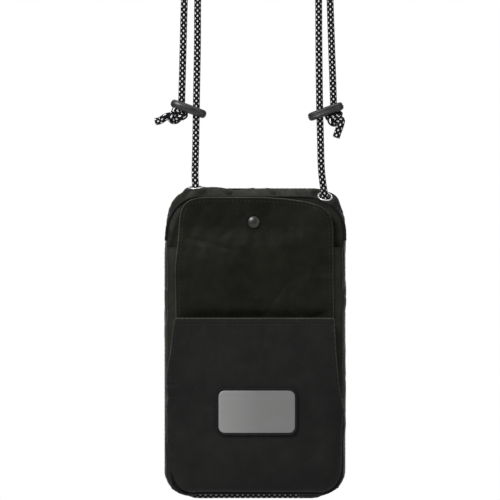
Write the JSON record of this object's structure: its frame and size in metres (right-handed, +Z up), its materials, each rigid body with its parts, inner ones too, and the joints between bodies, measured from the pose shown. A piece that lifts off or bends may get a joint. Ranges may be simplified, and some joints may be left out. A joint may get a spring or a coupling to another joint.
{
  "type": "neck pouch wallet",
  "caption": "Flat upright fabric neck pouch with a snap-down front pocket, an open slip pocket with a blank plate, a rear zip and a braided neck cord held by two stoppers.",
  "frame": {"origin": "inside of the top of the neck loop, where a neck carries it", "axes": "+Z up, -Y out of the front of the pouch, +X to the right seen from the front"},
  "size_m": [0.1231, 0.0361, 0.3701],
  "materials": {
    "shell_fabric": "matt woven nylon",
    "lining_fabric": "matt",
    "trim_fabric": "matt ribbed",
    "braid": "round black braid with pale reflective flecks",
    "foam": "open-cell foam, matt",
    "steel": "bright nickel plate",
    "gunmetal": "dark satin plate",
    "label_metal": "satin grey, blank",
    "stopper_rubber": "smooth black"
  },
  "bodies": {
    "pouch": {"gusset_left": "shell_fabric", "gusset_right": "shell_fabric", "gusset_bottom": "shell_fabric", "top_gusset": "shell_fabric", "back_panel": "shell_fabric", "partition_panel": "shell_fabric", "front_panel": "shell_fabric", "slip_pocket": "shell_fabric", "slip_pocket_hem": "shell_fabric", "pocket_gusset_left": "shell_fabric", "pocket_gusset_right": "shell_fabric", "slip_gusset_left": "shell_fabric", "slip_gusset_right": "shell_fabric", "lining_front": "lining_fabric", "lining_back": "lining_fabric", "cord_sleeve_left": "lining_fabric", "cord_sleeve_right": "lining_fabric", "back_padding": "foam", "back_seam_piping": "trim_fabric", "top_seam_piping": "trim_fabric", "bottom_seam_piping": "trim_fabric", "label_frame": "trim_fabric", "zip_tape_upper": "trim_fabric", "zip_tape_lower": "trim_fabric", "eyelet_left": "steel", "eyelet_right": "steel", "eyelet_washer_left": "steel", "eyelet_washer_right": "steel", "snap_stud": "steel", "snap_rivet": "steel", "zip_stop_left": "steel", "zip_stop_right": "steel", "zip_teeth_upper": "gunmetal", "zip_teeth_lower": "gunmetal", "label_plate": "label_metal", "cord_loop_a": "braid", "cord_loop_b": "braid", "cord_under": "braid", "cord_outer_left": "braid", "cord_outer_right": "braid"},
    "flap": {"flap_panel": "shell_fabric", "flap_binding": "trim_fabric", "snap_cap": "gunmetal", "snap_socket": "steel"},
    "stopper_left": {"stopper_left": "stopper_rubber", "cord_end_left": "braid", "knot_left": "braid", "cord_tail_left": "braid"},
    "stopper_right": {"stopper_right": "stopper_rubber", "cord_end_right": "braid", "knot_right": "braid", "cord_tail_right": "braid"},
    "zip_slider": {"zip_slider": "gunmetal"},
    "zip_puller": {"zip_puller": "gunmetal"}
  },
  "joints": [
    {"name": "flap_fold", "type": "hinge", "parent": "pouch", "child": "flap", "pos_m": [-0.0017, -0.0159, -0.2057], "axis": [1, 0, 0], "range_deg": [0, 150]},
    {"name": "stopper_left_slide", "type": "slide", "parent": "pouch", "child": "stopper_left", "axis": [0.0125, 0.0112, 0.9999], "range_m": [-0.022, 0.042], "deforming": ["cord_outer_left"]},
    {"name": "stopper_right_slide", "type": "slide", "parent": "pouch", "child": "stopper_right", "axis": [-0.0117, -0.0016, 0.9999], "range_m": [-0.022, 0.042], "deforming": ["cord_outer_right"]},
    {"name": "zip_slide", "type": "slide", "parent": "pouch", "child": "zip_slider", "axis": [1, 0, 0], "range_m": [-0.073, 0]},
    {"name": "zip_puller_swing", "type": "hinge", "parent": "zip_slider", "child": "zip_puller", "pos_m": [0.0348, 0.0104, -0.19], "axis": [1, 0, 0], "range_deg": [0, 150]}
  ]
}
